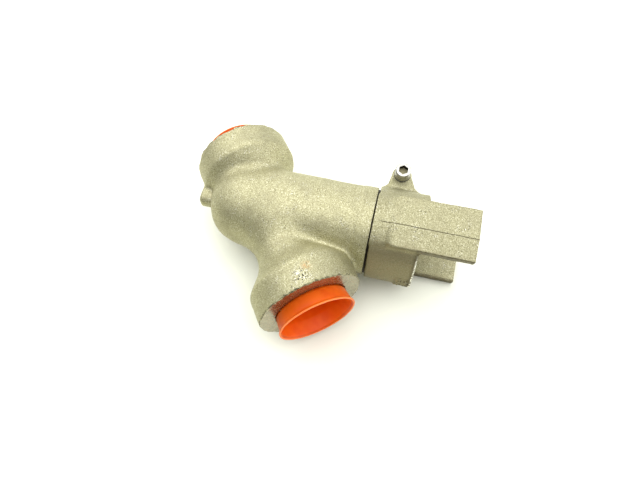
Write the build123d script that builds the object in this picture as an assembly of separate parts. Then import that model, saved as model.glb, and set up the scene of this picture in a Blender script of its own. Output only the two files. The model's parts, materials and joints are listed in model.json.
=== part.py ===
from build123d import *
from math import cos, radians, sin, sqrt
import os

# Socket-weld Y strainer for 2 inch pipe, lying on its side. Lengths are millimetres, angles degrees.
#
# The origin is the flow centre, where the axis of the run crosses the axis of the screen leg.
# +X is the run axis in the direction of flow, and +Z is up. The leg lies in the XY plane.
# Places on the leg are given in the leg's own frame: local Z is the distance from the flow centre
# along the leg, local X points to the clamp ears, and local Y points to the upper arm of the yoke.

# Run: two socket-weld hubs joined by a smaller tube
HUB_R = 46.0
HUB_LENGTH = 24.0
HUB_CHAMFER = 1.5
SHOULDER_LENGTH = 23.0
INLET_FACE = -68.5
OUTLET_FACE = 105.0
RUN_R = 27.0
PORT_R = 19.0
SOCKET_R = 30.7
SOCKET_DEPTH = 16.0
SOCKET_CHAMFER = 1.5
PIPE_BORE_R = 24.6
PORT_TAPER_LENGTH = 10.0
OUTLET_PORT_START = 32.0

# Screen leg of the body
LEG_ANGLE = 52.0
BARREL_R = 37.0
DOME_CENTRE = -17.0
NECK_R = 40.0
NECK_START = 12.0
NECK_END = 100.0
BARREL_TAPER_START = -14.0
KNOB_R = 7.2
KNOB_END = -66.2
KNOB_CHAMFER = 2.0
CHAMBER_R = 27.0
CHAMBER_START = 14.0
SUMP_R = 16.0
SUMP_CENTRE = -28.0
SEAT_R = 23.3
SEAT_START = 10.0
GASKET_LEDGE = 96.0
COVER_BORE_R = 31.0
THREAD_R = 36.0
THREAD_END = 128.0
THREAD_CHAMFER = 1.2

# Clearance left between pieces that screw, slide or drop into one another
LOOSE = 0.3

# How far a cutting shape runs on past the piece it cuts
RUN_OUT = 1.0

# Spiral-wound gasket
GASKET_THICKNESS = 4.4
GASKET_RING_WIDTH = 0.9
GASKET_R_IN = CHAMBER_R + 0.2
GASKET_R_OUT = COVER_BORE_R - 0.2
WINDING_SETBACK = 0.4

# Screen
SCREEN_R = 22.3
SCREEN_SHEET = 1.0
SCREEN_RING_R = SEAT_R - 0.2
SCREEN_RING_HEIGHT = 6.0
SCREEN_RING_FLOOR = 1.5
SCREEN_RING_CHAMFER = 0.6
SCREEN_COLLAR_R = 24.6
SCREEN_COLLAR_HEIGHT = 6.0
SCREEN_WELD_GAP = 0.05
SCREEN_HOLE_R = 1.9
SCREEN_HOLES_AROUND = 18
SCREEN_HOLE_ROWS = 12
SCREEN_HOLE_MARGIN = 3.5

# Cover
COVER_SHOULDER = 130.5
COVER_HUB_R = 24.6
COVER_HUB_CHAMFER = 1.0
COVER_END = 143.0
COVER_NOSE_R = 25.5
COVER_NOSE_START = 92.0
COVER_NOSE_BORE_R = 19.0
COVER_NOSE_BORE_END = 104.4

# Thrust washer and retaining ring between the cover and the yoke
THRUST_WASHER_THICKNESS = 2.5
THRUST_WASHER_R = 33.5
LIP_THICKNESS = 5.0
RING_THICKNESS = 1.8
RING_R = 28.0
RING_GROOVE_R = 22.6
RING_GROOVE_PLAY = 0.05
RING_GAP = 7.0

# Drain plug in the cover, M20 x 1.5 with a collar and a copper seal
DRAIN_THREAD_R = 9.7
DRAIN_THREAD_LENGTH = 16.0
DRAIN_TIP_CHAMFER = 1.0
DRAIN_TIP_SETBACK = 1.0
DRAIN_COLLAR_R = 13.5
DRAIN_COLLAR_HEIGHT = 4.0
DRAIN_COLLAR_CHAMFER = 0.7
DRAIN_SEAL_HEIGHT = 1.5
DRAIN_POCKET_R = 15.5
DRAIN_POCKET_DEPTH = 4.0
DRAIN_KEY = 10.0
DRAIN_KEY_DEPTH = 9.0

# Yoke: a split ring screwed on the neck, with two arms and two clamp ears
YOKE_CLOCK = 13.5
YOKE_START = 101.8
YOKE_RING_END = 145.5
YOKE_RING_R = 42.0
YOKE_RECESS_R = 31.0
YOKE_ENTRY_CHAMFER = 1.0
YOKE_SLIT = 3.0
YOKE_SLIT_FROM = 5.0
ARM_EAR_SIDE = 23.4
ARM_PLAIN_SIDE = 21.9
ARM_EDGE = (HUB_R - ARM_EAR_SIDE * sin(radians(YOKE_CLOCK))) / cos(radians(YOKE_CLOCK))
ARM_CROWN = 2.5
ARM_RIDGE_OFFSET = -3.0
ARM_THICKNESS = 7.5
ARM_END = 186.5
ARM_RISE_START = 108.0
ARM_RISE_END = 118.0
ARM_RISE_HEIGHT = 8.0
ARM_CORNER = 1.0
ARM_BORE_R = 33.5
EAR_AT = 117.8
EAR_REACH = 56.6
EAR_TIP_R = 9.0
EAR_THICKNESS = 8.0
EAR_FLARE_HEIGHT = 4.0
EAR_ROOT_BEFORE = 15.0
EAR_ROOT_BEYOND = 19.0
EAR_WAIST_BEFORE = 11.0
EAR_WAIST_BEYOND = 14.0
EAR_OVERLAP = 6.0

# Clamp screw, 3/8-16 UNC x 7/8 inch socket head cap screw, and its lock washer
SCREW_R = 4.45
SCREW_TIP_CHAMFER = 1.0
SCREW_HOLE_R = 5.2
SCREW_LENGTH = 22.2
SCREW_HEAD_R = 7.15
SCREW_HEAD_HEIGHT = 9.5
SCREW_HEAD_CHAMFER = 0.8
SCREW_KEY = 7.94
SCREW_KEY_DEPTH = 5.0
WASHER_R_IN = 4.9
WASHER_R = 7.3
WASHER_HEIGHT = 1.8
WASHER_SPLIT = 0.8

# Plastic dust caps
CAP_DEPTH = 13.0
CAP_WALL = 1.4
CAP_NECK_R = 31.8
CAP_LIP_R = 34.2
CAP_STANDOUT = 14.0
CAP_LIP_LENGTH = 2.0
CAP_LIP_EDGE = 0.8
CAP_FLARE_R = 33.0
CAP_FLOOR_CHAMFER = 1.0

THRUST_START = COVER_SHOULDER
LIP_START = COVER_SHOULDER + THRUST_WASHER_THICKNESS
LIP_END = LIP_START + LIP_THICKNESS
COVER_SEAT = GASKET_LEDGE + GASKET_THICKNESS
COVER_R = COVER_BORE_R - LOOSE
SCREEN_START = SEAT_START
SCREEN_END = COVER_NOSE_START
DRAIN_SEAT = COVER_END - DRAIN_POCKET_DEPTH

X_AXIS = Vector(1, 0, 0)
LEG = Vector(cos(radians(LEG_ANGLE)), sin(radians(LEG_ANGLE)), 0)
EARS = Vector(
    -sin(radians(LEG_ANGLE)) * cos(radians(YOKE_CLOCK)),
    cos(radians(LEG_ANGLE)) * cos(radians(YOKE_CLOCK)),
    sin(radians(YOKE_CLOCK)),
)
RUN_PLANE = Plane(origin=(0, 0, 0), x_dir=(0, 1, 0), z_dir=X_AXIS)
LEG_PLANE = Plane(origin=(0, 0, 0), x_dir=EARS, z_dir=LEG)


def turned(*profile):
    """Solid of revolution about Z from (radius, height) corners."""
    outline = Plane.XZ * Polyline(*profile, close=True)
    return revolve(make_face(outline), Axis.Z)


def sleeve(outer, inner, low, high):
    """Straight tube about Z between two heights."""
    return turned((inner, low), (outer, low), (outer, high), (inner, high))


def rod(radius, low, high):
    """Straight round bar about Z between two heights."""
    return turned((0, low), (radius, low), (radius, high), (0, high))


def hexagon(across_flats, low, high):
    """Hexagonal prism about Z between two heights."""
    profile = RegularPolygon(across_flats / sqrt(3), 6)
    return Pos(0, 0, low) * extrude(profile, high - low)


def run_outside():
    """Both hubs, their shoulders and the tube between them."""
    inlet_back = INLET_FACE + HUB_LENGTH
    outlet_back = OUTLET_FACE - HUB_LENGTH
    return turned(
        (0, INLET_FACE),
        (HUB_R - HUB_CHAMFER, INLET_FACE),
        (HUB_R, INLET_FACE + HUB_CHAMFER),
        (HUB_R, inlet_back),
        (RUN_R, inlet_back + SHOULDER_LENGTH),
        (RUN_R, outlet_back - SHOULDER_LENGTH),
        (HUB_R, outlet_back),
        (HUB_R, OUTLET_FACE - HUB_CHAMFER),
        (HUB_R - HUB_CHAMFER, OUTLET_FACE),
        (0, OUTLET_FACE),
    )


def leg_outside():
    """Domed barrel, neck and the threaded spigot that carries the yoke."""
    dome = Pos(0, 0, DOME_CENTRE) * Sphere(BARREL_R)
    shaft = turned(
        (0, DOME_CENTRE),
        (BARREL_R, DOME_CENTRE),
        (BARREL_R, BARREL_TAPER_START),
        (NECK_R, NECK_START),
        (NECK_R, NECK_END),
        (THREAD_R, NECK_END),
        (THREAD_R, THREAD_END - THREAD_CHAMFER),
        (THREAD_R - THREAD_CHAMFER, THREAD_END),
        (0, THREAD_END),
    )
    knob = rod(KNOB_R, KNOB_END, DOME_CENTRE)
    knob = chamfer(knob.edges().group_by(Axis.Z)[0], KNOB_CHAMFER)
    return dome + shaft + knob


def hub_bore(end):
    """Port, taper, pipe socket and mouth chamfer; Z = 0 is the hub face, the port runs to end."""
    mouth_r = SOCKET_R + SOCKET_CHAMFER
    return turned(
        (0, end),
        (PORT_R, end),
        (PORT_R, -SOCKET_DEPTH - PORT_TAPER_LENGTH),
        (PIPE_BORE_R, -SOCKET_DEPTH),
        (SOCKET_R, -SOCKET_DEPTH),
        (SOCKET_R, -SOCKET_CHAMFER),
        (mouth_r, 0),
        (mouth_r, RUN_OUT),
        (0, RUN_OUT),
    )


def run_inside():
    """Inlet bore with its round end, and the outlet bore that starts in the screen chamber."""
    inlet = Pos(0, 0, INLET_FACE) * (Rot(180, 0, 0) * hub_bore(INLET_FACE))
    outlet = Pos(0, 0, OUTLET_FACE) * hub_bore(OUTLET_PORT_START - OUTLET_FACE)
    return inlet + Sphere(PORT_R) + outlet


def leg_inside():
    """Sump below the screen, screen seat, screen chamber and counterbore for the cover."""
    sump_end = Pos(0, 0, SUMP_CENTRE) * Sphere(SUMP_R)
    bored = turned(
        (0, SUMP_CENTRE),
        (SUMP_R, SUMP_CENTRE),
        (SUMP_R, SEAT_START),
        (SEAT_R, SEAT_START),
        (SEAT_R, CHAMBER_START),
        (CHAMBER_R, CHAMBER_START),
        (CHAMBER_R, GASKET_LEDGE),
        (COVER_BORE_R, GASKET_LEDGE),
        (COVER_BORE_R, THREAD_END + RUN_OUT),
        (0, THREAD_END + RUN_OUT),
    )
    return bored + sump_end


def body():
    outside = RUN_PLANE * run_outside() + LEG_PLANE * leg_outside()
    return outside - RUN_PLANE * run_inside() - LEG_PLANE * leg_inside()


def cap():
    """Cup with its floor in the socket and its flared mouth facing out; Z = 0 is the hub face."""
    plug_r = SOCKET_R - LOOSE
    flare_start = CAP_STANDOUT - CAP_LIP_LENGTH
    return turned(
        (0, -CAP_DEPTH),
        (plug_r - CAP_FLOOR_CHAMFER, -CAP_DEPTH),
        (plug_r, -CAP_DEPTH + CAP_FLOOR_CHAMFER),
        (plug_r, LOOSE),
        (CAP_NECK_R, LOOSE),
        (CAP_FLARE_R, flare_start),
        (CAP_LIP_R, CAP_STANDOUT - CAP_LIP_EDGE),
        (CAP_LIP_R, CAP_STANDOUT),
        (CAP_LIP_R - CAP_WALL, CAP_STANDOUT),
        (CAP_FLARE_R - CAP_WALL, flare_start),
        (plug_r - CAP_WALL, LOOSE),
        (plug_r - CAP_WALL, -CAP_DEPTH + CAP_WALL),
        (0, -CAP_DEPTH + CAP_WALL),
    )


def inlet_cap():
    return RUN_PLANE * (Pos(0, 0, INLET_FACE) * (Rot(180, 0, 0) * cap()))


def outlet_cap():
    return RUN_PLANE * (Pos(0, 0, OUTLET_FACE) * cap())


def gasket_inner_ring():
    ring = sleeve(GASKET_R_IN + GASKET_RING_WIDTH, GASKET_R_IN, GASKET_LEDGE, COVER_SEAT)
    return LEG_PLANE * ring


def gasket_winding():
    inner = GASKET_R_IN + GASKET_RING_WIDTH
    outer = GASKET_R_OUT - GASKET_RING_WIDTH
    return LEG_PLANE * sleeve(outer, inner, GASKET_LEDGE, COVER_SEAT)


def gasket_outer_ring():
    low = GASKET_LEDGE
    high = COVER_SEAT - WINDING_SETBACK
    return LEG_PLANE * sleeve(GASKET_R_OUT, GASKET_R_OUT - GASKET_RING_WIDTH, low, high)


def screen_sheet():
    """Perforated tube; each drill bar passes through both walls, and odd rows are staggered."""
    low = SCREEN_START + SCREEN_RING_FLOOR
    high = SCREEN_END - SCREEN_RING_FLOOR
    tube = sleeve(SCREEN_R, SCREEN_R - SCREEN_SHEET, low, high)
    first = SCREEN_START + SCREEN_RING_HEIGHT + SCREEN_HOLE_MARGIN
    last = SCREEN_END - SCREEN_COLLAR_HEIGHT - SCREEN_HOLE_MARGIN
    step = (last - first) / (SCREEN_HOLE_ROWS - 1)
    turn = 360 / SCREEN_HOLES_AROUND
    bar = Rot(90, 0, 0) * Cylinder(SCREEN_HOLE_R, 3 * SCREEN_R)
    drills = []
    for row in range(SCREEN_HOLE_ROWS):
        stagger = turn / 2 * (row % 2)
        for column in range(SCREEN_HOLES_AROUND // 2):
            place = Pos(0, 0, first + row * step) * Rot(0, 0, stagger + column * turn)
            drills.append(place * bar)
    return LEG_PLANE * (tube - drills)


def screen_seat_ring():
    """Ring welded round the low end of the screen; it drops into the seat in the body."""
    outside = SCREEN_RING_R
    inside = SCREEN_R - SCREEN_SHEET
    high = SCREEN_START + SCREEN_RING_HEIGHT
    return LEG_PLANE * turned(
        (inside, SCREEN_START),
        (outside - SCREEN_RING_CHAMFER, SCREEN_START),
        (outside, SCREEN_START + SCREEN_RING_CHAMFER),
        (outside, high),
        (SCREEN_R + SCREEN_WELD_GAP, high),
        (SCREEN_R + SCREEN_WELD_GAP, SCREEN_START + SCREEN_RING_FLOOR),
        (inside, SCREEN_START + SCREEN_RING_FLOOR),
    )


def screen_collar():
    """Ring welded round the high end of the screen; the cover nose presses on it."""
    low = SCREEN_END - SCREEN_COLLAR_HEIGHT
    inside = SCREEN_R - SCREEN_SHEET
    return LEG_PLANE * turned(
        (SCREEN_R + SCREEN_WELD_GAP, low),
        (SCREEN_COLLAR_R, low),
        (SCREEN_COLLAR_R, SCREEN_END),
        (inside, SCREEN_END),
        (inside, SCREEN_END - SCREEN_RING_FLOOR),
        (SCREEN_R + SCREEN_WELD_GAP, SCREEN_END - SCREEN_RING_FLOOR),
    )


def cover():
    """Plug that closes the leg, with a hollow nose, a grooved hub and a tapped drain hole."""
    groove_low = LIP_END + LOOSE
    groove_high = groove_low + RING_THICKNESS
    outside = turned(
        (0, COVER_NOSE_START),
        (COVER_NOSE_R, COVER_NOSE_START),
        (COVER_NOSE_R, COVER_SEAT),
        (COVER_R, COVER_SEAT),
        (COVER_R, COVER_SHOULDER),
        (COVER_HUB_R, COVER_SHOULDER),
        (COVER_HUB_R, groove_low),
        (RING_GROOVE_R, groove_low),
        (RING_GROOVE_R, groove_high),
        (COVER_HUB_R, groove_high),
        (COVER_HUB_R, COVER_END - COVER_HUB_CHAMFER),
        (COVER_HUB_R - COVER_HUB_CHAMFER, COVER_END),
        (0, COVER_END),
    )
    drain_end = DRAIN_SEAT - DRAIN_THREAD_LENGTH
    inside = turned(
        (0, COVER_NOSE_START - RUN_OUT),
        (COVER_NOSE_BORE_R, COVER_NOSE_START - RUN_OUT),
        (COVER_NOSE_BORE_R, COVER_NOSE_BORE_END),
        (DRAIN_THREAD_R + LOOSE, drain_end),
        (DRAIN_THREAD_R + LOOSE, DRAIN_SEAT),
        (DRAIN_POCKET_R, DRAIN_SEAT),
        (DRAIN_POCKET_R, COVER_END + RUN_OUT),
        (0, COVER_END + RUN_OUT),
    )
    return LEG_PLANE * (outside - inside)


def thrust_washer():
    low = THRUST_START
    high = low + THRUST_WASHER_THICKNESS
    return LEG_PLANE * sleeve(THRUST_WASHER_R, COVER_HUB_R + LOOSE, low, high)


def retaining_ring():
    """Open ring in the groove of the cover hub; its gap faces away from the clamp ears."""
    low = LIP_END + LOOSE
    ring = sleeve(RING_R, RING_GROOVE_R + RING_GROOVE_PLAY, low, low + RING_THICKNESS)
    gap = Pos(-RING_R, 0, low) * Box(2 * RING_R, RING_GAP, 4 * RING_THICKNESS)
    return LEG_PLANE * (ring - gap)


def drain_seal():
    low = DRAIN_SEAT
    high = low + DRAIN_SEAL_HEIGHT
    return LEG_PLANE * sleeve(DRAIN_COLLAR_R, DRAIN_THREAD_R + LOOSE, low, high)


def drain_plug():
    """Screw plug with a round collar and a hexagon socket."""
    collar_low = DRAIN_SEAT + DRAIN_SEAL_HEIGHT
    collar_high = collar_low + DRAIN_COLLAR_HEIGHT
    low = DRAIN_SEAT - DRAIN_THREAD_LENGTH + DRAIN_TIP_SETBACK
    outside = turned(
        (0, low),
        (DRAIN_THREAD_R - DRAIN_TIP_CHAMFER, low),
        (DRAIN_THREAD_R, low + DRAIN_TIP_CHAMFER),
        (DRAIN_THREAD_R, collar_low),
        (DRAIN_COLLAR_R, collar_low),
        (DRAIN_COLLAR_R, collar_high - DRAIN_COLLAR_CHAMFER),
        (DRAIN_COLLAR_R - DRAIN_COLLAR_CHAMFER, collar_high),
        (0, collar_high),
    )
    socket = hexagon(DRAIN_KEY, collar_high - DRAIN_KEY_DEPTH, collar_high + RUN_OUT)
    return LEG_PLANE * (outside - socket)


def arm_section():
    """End-on outline of the upper arm: flat inside, two shallow facets outside."""
    edge = ARM_EDGE
    inner = ARM_EDGE - ARM_THICKNESS
    plain = -ARM_PLAIN_SIDE
    eared = ARM_EAR_SIDE
    c = ARM_CORNER
    return make_face(
        Polyline(
            (plain + c, inner),
            (eared - c, inner),
            (eared, inner + c),
            (eared, edge),
            (ARM_RIDGE_OFFSET, edge + ARM_CROWN),
            (plain, edge),
            (plain, inner + c),
            close=True,
        )
    )


def arm():
    """Arm along the leg; near the body its corners die away into the ring."""
    bar = Pos(0, 0, YOKE_START) * extrude(arm_section(), ARM_END - YOKE_START)
    full_r = ARM_EDGE + ARM_EAR_SIDE
    rise = turned(
        (0, YOKE_START),
        (YOKE_RING_R, YOKE_START),
        (YOKE_RING_R, ARM_RISE_START),
        (YOKE_RING_R + ARM_RISE_HEIGHT, ARM_RISE_END),
        (full_r, ARM_RISE_END),
        (full_r, ARM_END),
        (0, ARM_END),
    )
    return bar & rise


def ear_blank():
    """Both ears as one block: a tapered tongue with a round tip about the clamp screw."""
    root = YOKE_RING_R
    waist = YOKE_RING_R + EAR_FLARE_HEIGHT
    tongue = make_face(
        Polyline(
            (root - EAR_OVERLAP, EAR_AT - EAR_ROOT_BEFORE),
            (root, EAR_AT - EAR_ROOT_BEFORE),
            (waist, EAR_AT - EAR_WAIST_BEFORE),
            (EAR_REACH, EAR_AT - EAR_TIP_R),
            (EAR_REACH, EAR_AT + EAR_TIP_R),
            (waist, EAR_AT + EAR_WAIST_BEYOND),
            (root, EAR_AT + EAR_ROOT_BEYOND),
            (root - EAR_OVERLAP, EAR_AT + EAR_ROOT_BEYOND),
            close=True,
        )
    )
    outline = tongue + Pos(EAR_REACH, EAR_AT) * Circle(EAR_TIP_R)
    half = EAR_THICKNESS + YOKE_SLIT / 2
    return Rot(90, 0, 0) * (Pos(0, 0, -half) * extrude(outline, 2 * half))


def screw_place(height):
    """Place on the clamp screw axis, at a height above the slit, with Z along the screw."""
    return Pos(EAR_REACH, height, EAR_AT) * Rot(-90, 0, 0)


def yoke():
    ring = rod(YOKE_RING_R, YOKE_START, YOKE_RING_END)
    upper_arm = arm()
    lower_arm = Rot(0, 0, 180) * upper_arm
    outside = ring + ear_blank() + upper_arm + lower_arm
    bore = turned(
        (0, YOKE_START),
        (THREAD_R + LOOSE + YOKE_ENTRY_CHAMFER, YOKE_START),
        (THREAD_R + LOOSE, YOKE_START + YOKE_ENTRY_CHAMFER),
        (THREAD_R + LOOSE, LIP_START),
        (COVER_HUB_R + LOOSE, LIP_START),
        (COVER_HUB_R + LOOSE, LIP_END),
        (YOKE_RECESS_R, LIP_END),
        (YOKE_RECESS_R, YOKE_RING_END),
        (ARM_BORE_R, YOKE_RING_END),
        (ARM_BORE_R, ARM_END + RUN_OUT),
        (0, ARM_END + RUN_OUT),
    )
    slit_length = EAR_REACH + EAR_TIP_R
    slit_middle = (YOKE_START + ARM_END) / 2
    slit = Box(slit_length, YOKE_SLIT, ARM_END, align=(Align.MIN, Align.CENTER, Align.CENTER))
    slit = Pos(YOKE_SLIT_FROM, 0, slit_middle) * slit
    upper_half = EAR_THICKNESS + YOKE_SLIT
    clearance_hole = screw_place(0) * rod(SCREW_HOLE_R, 0, upper_half)
    tapped_hole = screw_place(0) * rod(SCREW_R + LOOSE, -upper_half, 0)
    return LEG_PLANE * (outside - bore - slit - clearance_hole - tapped_hole)


def clamp_lock_washer():
    low = YOKE_SLIT / 2 + EAR_THICKNESS
    ring = sleeve(WASHER_R, WASHER_R_IN, low, low + WASHER_HEIGHT)
    split = Pos(WASHER_R, 0, low) * Box(2 * WASHER_R, WASHER_SPLIT, 4 * WASHER_HEIGHT)
    return LEG_PLANE * (screw_place(0) * (ring - split))


def clamp_screw():
    head_low = YOKE_SLIT / 2 + EAR_THICKNESS + WASHER_HEIGHT
    head_high = head_low + SCREW_HEAD_HEIGHT
    tip = head_low - SCREW_LENGTH
    outside = turned(
        (0, tip),
        (SCREW_R - SCREW_TIP_CHAMFER, tip),
        (SCREW_R, tip + SCREW_TIP_CHAMFER),
        (SCREW_R, head_low),
        (SCREW_HEAD_R, head_low),
        (SCREW_HEAD_R, head_high - SCREW_HEAD_CHAMFER),
        (SCREW_HEAD_R - SCREW_HEAD_CHAMFER, head_high),
        (0, head_high),
    )
    socket = hexagon(SCREW_KEY, head_high - SCREW_KEY_DEPTH, head_high + RUN_OUT)
    return LEG_PLANE * (screw_place(0) * (outside - socket))


PIECES = {
    "body": body,
    "inlet_cap": inlet_cap,
    "outlet_cap": outlet_cap,
    "gasket_inner_ring": gasket_inner_ring,
    "gasket_winding": gasket_winding,
    "gasket_outer_ring": gasket_outer_ring,
    "screen_sheet": screen_sheet,
    "screen_seat_ring": screen_seat_ring,
    "screen_collar": screen_collar,
    "cover": cover,
    "thrust_washer": thrust_washer,
    "retaining_ring": retaining_ring,
    "drain_seal": drain_seal,
    "drain_plug": drain_plug,
    "yoke": yoke,
    "clamp_lock_washer": clamp_lock_washer,
    "clamp_screw": clamp_screw,
}

os.makedirs("parts", exist_ok=True)
for name, make in PIECES.items():
    piece = make()
    export_step(piece, f"parts/{name}.step")
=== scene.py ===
import json
import math

import bmesh
import bpy
import numpy as np
from mathutils import Matrix, Vector


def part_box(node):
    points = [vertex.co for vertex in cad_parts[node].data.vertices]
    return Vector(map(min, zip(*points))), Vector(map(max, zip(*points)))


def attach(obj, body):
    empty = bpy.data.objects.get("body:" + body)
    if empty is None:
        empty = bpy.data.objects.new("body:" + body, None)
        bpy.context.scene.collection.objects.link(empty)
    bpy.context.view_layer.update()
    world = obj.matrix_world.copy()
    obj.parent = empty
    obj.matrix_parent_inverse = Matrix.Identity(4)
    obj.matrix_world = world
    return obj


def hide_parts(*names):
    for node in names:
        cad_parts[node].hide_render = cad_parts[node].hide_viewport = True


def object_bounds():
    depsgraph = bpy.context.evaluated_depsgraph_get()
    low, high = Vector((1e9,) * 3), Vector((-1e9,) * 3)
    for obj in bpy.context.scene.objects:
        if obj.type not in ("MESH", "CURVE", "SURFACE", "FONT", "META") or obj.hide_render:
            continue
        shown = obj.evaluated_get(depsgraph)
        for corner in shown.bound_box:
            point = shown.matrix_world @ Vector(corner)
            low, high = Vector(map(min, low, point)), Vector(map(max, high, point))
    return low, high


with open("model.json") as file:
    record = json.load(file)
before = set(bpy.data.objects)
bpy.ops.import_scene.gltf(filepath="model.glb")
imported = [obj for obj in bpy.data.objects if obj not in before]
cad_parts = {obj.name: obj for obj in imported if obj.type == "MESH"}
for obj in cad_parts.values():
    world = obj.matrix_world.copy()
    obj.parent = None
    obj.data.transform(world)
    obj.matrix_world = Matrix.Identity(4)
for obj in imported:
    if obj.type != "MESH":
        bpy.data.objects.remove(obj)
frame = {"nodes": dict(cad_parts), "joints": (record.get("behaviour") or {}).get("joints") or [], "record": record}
cad_box = [list(corner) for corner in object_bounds()]

# Shapes are worked out in millimetres and made in metres.
MM = 0.001

# ---------------------------------------------------------------- facts read from the frame

RECORD = frame["record"]
MOUNTS = {mount["name"]: mount for mount in RECORD["mounts"]}
JOINTS = {joint["name"]: joint for joint in frame["joints"]}
LEG = Vector(JOINTS["cover_rise"]["axis"]).normalized()
ARMS = Vector(JOINTS["clamp_washer_rise"]["axis"]).normalized()
EARS = ARMS.cross(LEG)
LEG_AXES = Matrix((EARS, ARMS, LEG)).transposed()
LEG_PLACE = LEG_AXES.to_4x4()


def leg_box(node):
    """Lowest and highest corners of a CAD node along the ears, the arms and the leg, in mm."""
    points = np.array([v.co for v in frame["nodes"][node].data.vertices]) / MM
    local = points @ np.array(LEG_AXES)
    return local.min(0), local.max(0)


YOKE_LOW, YOKE_HIGH = leg_box("yoke")
WASHER_LOW, WASHER_HIGH = leg_box("clamp_lock_washer")
SCREW_LOW, SCREW_HIGH = leg_box("clamp_screw")
COVER_END = leg_box("cover")[1][2]
LEDGE = leg_box("gasket_winding")[0][2]

INLET_FACE = MOUNTS["inlet_face"]["pos_m"][0] / MM
OUTLET_FACE = MOUNTS["outlet_face"]["pos_m"][0] / MM
SOCKET_R = MOUNTS["outlet_socket"]["dims"]["r_mm"]
SOCKET_DEPTH = MOUNTS["outlet_socket"]["dims"]["length_mm"]
HUB_R = -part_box("body")[0].z / MM
FLOOR = -HUB_R

# ---------------------------------------------------------------- body forging, in mm

HUB_LENGTH = 24.0
HUB_CHAMFER = 1.5
SHOULDER_LENGTH = 23.0
SHOULDER_ROUND = 1.6
SHOULDER_FILLET = 9.0
RUN_R = 27.0
PORT_R = 19.0
PIPE_BORE_R = 24.6
PORT_TAPER = 10.0
OUTLET_PORT_START = 32.0
BARREL_R = 37.0
DOME_CENTRE = -17.0
SWELL = 14.0
NECK_R = 40.0
NECK_END = YOKE_LOW[2] - 2.0
WAIST = (50.0, 70.0)
WAIST_DEPTH = 0.35
COLLAR_START = NECK_END - 13.0
COLLAR_HALF = 1.5
COLLAR_STEP = 0.6
KNOB_R = 8.2
KNOB_END = -66.2
KNOB_ROUND = 4.0
KNOB_FILLET = 1.6
CHAMBER_R = 27.0
CHAMBER_START = 14.0
SUMP_R = 16.0
SUMP_CENTRE = -28.0
SEAT_R = 23.3
SEAT_START = 10.0
COVER_BORE_R = 31.0
THREAD_R = 36.0
THREAD_DEPTH = 1.6
THREAD_PITCH = 3.0
THREAD_END = leg_box("body")[1][2]
SPIGOT_R = THREAD_R - THREAD_DEPTH - 0.2
SPIGOT_START = NECK_END - 20
REGISTER_R = 38.6
# Fillets between run and leg: in the sharp angle, on the inlet side, and everywhere else.
CROTCH_FILLET = 7.5
INLET_FILLET = 8.0
OPEN_FILLET = 17.0
# Where the tighter fillets begin and are full: along the run, opposite the ears, and upstream.
CROTCH_ALONG = (20.0, 62.0)
CROTCH_SIDE = (-10.0, 20.0)
INLET_SIDE = (8.0, 26.0)
# Middles of a knocked patch and of a rust stain on the outlet hub.
HUB_KNOCK = (96.0, -3.0, HUB_R)
HUB_RUST = (90.0, 4.0, HUB_R)

# ---------------------------------------------------------------- distance fields

# Outlines of bores reach this radius, just past the axis, and run on this far past the metal.
PAST_AXIS = -1.0
OVERRUN = 5.0


def smooth_min(a, b, radius):
    """Union of two distance fields with a fillet."""
    h = np.clip(0.5 + 0.5 * (b - a) / radius, 0, 1)
    return b + (a - b) * h - radius * h * (1 - h)


def smooth_max(a, b, radius):
    """Intersection of two distance fields with a rounded edge."""
    return -smooth_min(-a, -b, radius)


def step_between(value, low, high):
    """0 below low, 1 above high, and a smooth rise between."""
    t = np.clip((value - low) / (high - low), 0, 1)
    return t * t * (3 - 2 * t)


def outline_distance(p, q, corners):
    """Signed distance from points (p, q) to a closed outline, negative inside."""
    best = np.full(p.shape, 1e9, np.float32)
    sign = np.ones(p.shape, np.float32)
    for (ax, ay), (bx, by) in zip(corners, corners[1:] + corners[:1], strict=True):
        ex, ey = bx - ax, by - ay
        wx, wy = p - ax, q - ay
        t = np.clip((wx * ex + wy * ey) / (ex * ex + ey * ey), 0, 1)
        best = np.minimum(best, (wx - ex * t) ** 2 + (wy - ey * t) ** 2)
        above, below = q >= ay, q < by
        left = ex * wy > ey * wx
        cross = (above & below & left) | (~above & ~below & ~left)
        sign = np.where(cross, -sign, sign)
    return sign * np.sqrt(best)


def lattice_noise(x, y, z, size, seed):
    """Smooth noise from -1 to 1 with features about size across, the same on every run."""
    rng = np.random.default_rng(seed)
    count = 48
    lattice = rng.uniform(-1, 1, (count, count, count)).astype(np.float32)
    places = [(axis / size) % count for axis in (x, y, z)]
    cells = [place.astype(int) % count for place in places]
    shares = [step_between(place - np.floor(place), 0, 1) for place in places]
    total = 0
    for corner in range(8):
        weight = 1
        index = []
        for axis in range(3):
            high = corner >> axis & 1
            weight = weight * (shares[axis] if high else 1 - shares[axis])
            index.append((cells[axis] + high) % count)
        total = total + weight * lattice[tuple(index)]
    return total


def leg_coordinates(x, y, z):
    """Places along the ears, the arms and the leg."""
    return [x * a.x + y * a.y + z * a.z for a in (EARS, ARMS, LEG)]


def hub_outside(x, r, face, out, torn):
    """One hub: cylinder, sloped shoulder and chipped rim; out is 1 or -1, the way it faces."""
    depth = (face - x) * out
    slope = np.array([HUB_R - RUN_R, SHOULDER_LENGTH])
    across, along = slope / np.hypot(*slope)
    shoulder = (depth - HUB_LENGTH) * across + (r - HUB_R) * along
    chamfer = HUB_CHAMFER * (0.55 + 0.45 * torn)
    rim = (r - HUB_R + chamfer - depth) / math.sqrt(2)
    return np.maximum(smooth_max(r - HUB_R, shoulder, SHOULDER_ROUND), rim)


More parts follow.
